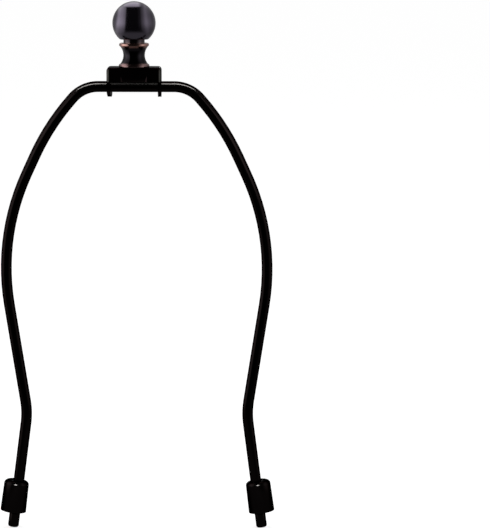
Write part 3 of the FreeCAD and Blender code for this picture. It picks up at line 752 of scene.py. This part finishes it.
def cloth_light(value, stops):
    """Smooth light along the tent: stops are places from -1 to 1 with their brightness."""
    along = add(tent_cloth, "MapRange", {"Value": value, "From Min": -1.0, "From Max": 1.0})
    ramp = add(tent_cloth, "ValToRGB", {"Fac": along.outputs[0]})
    ramp.color_ramp.interpolation = "EASE"
    points = ramp.color_ramp.elements
    points[0].position, points[1].position = (stops[0][0] + 1) / 2, (stops[-1][0] + 1) / 2
    for place_along, _ in stops[1:-1]:
        points.new((place_along + 1) / 2)
    for point, (_, light) in zip(points, stops):
        point.color = (light, light, light, 1)
    return ramp.outputs["Color"]


walls = cloth_light(across, [
    (-1.0, 0.1), (-0.9, 0.2), (-0.74, 0.9), (-0.6, 0.72), (-0.46, 0.48), (-0.37, 0.0),
    (0.1, 0.0), (0.3, 0.03), (0.4, 0.16), (0.58, 0.42), (0.75, 0.25), (0.9, 0.15), (1.0, 0.15),
])
tall = cloth_light(up, [
    (-0.9, 0.25), (-0.5, 0.3), (-0.35, 0.45), (0.0, 1.0), (0.4, 0.75), (1.0, 0.7),
])
roof = cloth_light(up, [(0.7, 0.0), (0.78, 0.7), (1.0, 1.0)])
roof_width = cloth_light(across, [(-0.7, 0.3), (-0.5, 1.0), (0.2, 1.0), (0.4, 0.3)])
ground_light = cloth_light(up, [(-0.5, 0.1), (-0.35, 0.007)])
wall_light = add(tent_cloth, "Math", {0: walls, 1: tall}, operation="MULTIPLY").outputs[0]
roof_light = add(tent_cloth, "Math", {0: roof, 1: roof_width}, operation="MULTIPLY").outputs[0]
most = add(tent_cloth, "Math", {0: wall_light, 1: roof_light}, operation="MAXIMUM").outputs[0]
most = add(tent_cloth, "Math", {0: most, 1: ground_light}, operation="MAXIMUM").outputs[0]
turned_away = add(tent_cloth, "VectorMath", {0: patch, 1: towards}, operation="DOT_PRODUCT")
cloth = add(tent_cloth, "MapRange", {
    "Value": turned_away.outputs["Value"], "From Min": -0.97, "From Max": -0.6,
    "To Min": TENT_BACK, "To Max": most,
}, interpolation_type="SMOOTHSTEP").outputs[0]
lit_cloth = add(tent_cloth, "Math", {0: cloth, 1: TENT_POWER}, operation="MULTIPLY").outputs[0]
surface(tent_cloth, add(tent_cloth, "Emission", {
    "Color": (1, 1, 1, 1), "Strength": lit_cloth,
}).outputs[0])

tent = bmesh.new()
bmesh.ops.create_uvsphere(
    tent, u_segments=TENT_STEPS, v_segments=TENT_STEPS // 2, radius=TENT_RADIUS
)
bmesh.ops.translate(tent, verts=tent.verts[:], vec=ball_place)
bmesh.ops.create_circle(
    tent, cap_ends=True, segments=TENT_STEPS, radius=TENT_FLOOR,
    matrix=Matrix.Translation((0, 0, TENT_FLOOR_UP)),
)
tent_sheet = stage_sheet("tent", tent, tent_cloth)
tent_sheet.visible_camera = tent_sheet.visible_diffuse = tent_sheet.visible_shadow = False
tent_sheet.visible_transmission = tent_sheet.visible_volume_scatter = False

# The room: even, pale light all round, and one broad lamp overhead.
ROOM_LIGHT = 0.35

world = bpy.data.worlds.new("studio")
bpy.context.scene.world = world
world.use_nodes = True
world.node_tree.nodes.clear()
strength = add(world, "MapRange", {"Value": seen_directly(world), "To Min": ROOM_LIGHT})
sky = add(world, "Background", {"Color": (1, 1, 1, 1), "Strength": strength.outputs["Result"]})
add(world, "OutputWorld", {"Surface": sky.outputs[0]})


def soft_box(name, power, size_x, size_y, place, aim):
    """A rectangular lamp that faces a point."""
    lamp = bpy.data.lights.new(name, "AREA")
    lamp.shape = "RECTANGLE"
    lamp.energy, lamp.size, lamp.size_y = power, size_x, size_y
    box = bpy.data.objects.new(name, lamp)
    box.location = place
    box.rotation_euler = (Vector(aim) - Vector(place)).to_track_quat("-Z", "Y").to_euler()
    bpy.context.scene.collection.objects.link(box)
    return box


top_box = soft_box("top_box", 8.0, 0.7, 0.5, (0.0, 0.12, 1.15), (0, 0, 0.2))
top_box.visible_glossy = False

# Two strip lamps over the front draw a thin line along the wire, dim in the middle. A
# lamp further out puts one spark on each sleeve's shoulder, and two broad, dim boxes at
# the sides a brown sheen down the wire's arms. Each lights only the pieces in its row.
# The first three are a little cool, so that the warm black gives their light back white.
COOL, PLAIN = (0.78, 1.0, 0.95), (1.0, 1.0, 1.0)

cups = [bpy.data.objects[name] for name in ("left_sleeve_cup", "right_sleeve_cup")]
shading = bpy.data.collections.new("shades_the_lamps")
for piece in [hoop, *cups]:
    shading.objects.link(piece)
for name, power, size_x, size_y, place, aim, pieces, colour in (
    ("left_strip", 1.6, 0.15, 0.035, (-0.098, -0.09, 0.38), (-0.098, 0, 0.1946), [hoop], COOL),
    ("right_strip", 1.6, 0.15, 0.035, (0.076, -0.09, 0.38), (0.076, 0, 0.1946), [hoop], COOL),
    ("spark_lamp", 30.0, 0.26, 0.26, (-0.05, -0.7, 0.42), (0, 0, 0.02), cups, COOL),
    ("left_side_box", 0.6, 0.5, 0.24, (-0.5, -0.5, 0.4), (0, 0, 0.15), [hoop], PLAIN),
    ("right_side_box", 0.6, 0.5, 0.24, (0.53, -0.5, 0.4), (0, 0, 0.15), [hoop], PLAIN),
):
    lamp = soft_box(name, power, size_x, size_y, place, aim)
    lamp.data.color = colour
    reached = bpy.data.collections.new(name + "_reaches")
    for piece in pieces:
        reached.objects.link(piece)
    lamp.light_linking.receiver_collection = reached
    lamp.light_linking.blocker_collection = shading

bpy.context.scene.view_settings.view_transform = "Standard"

low, high = cad_box
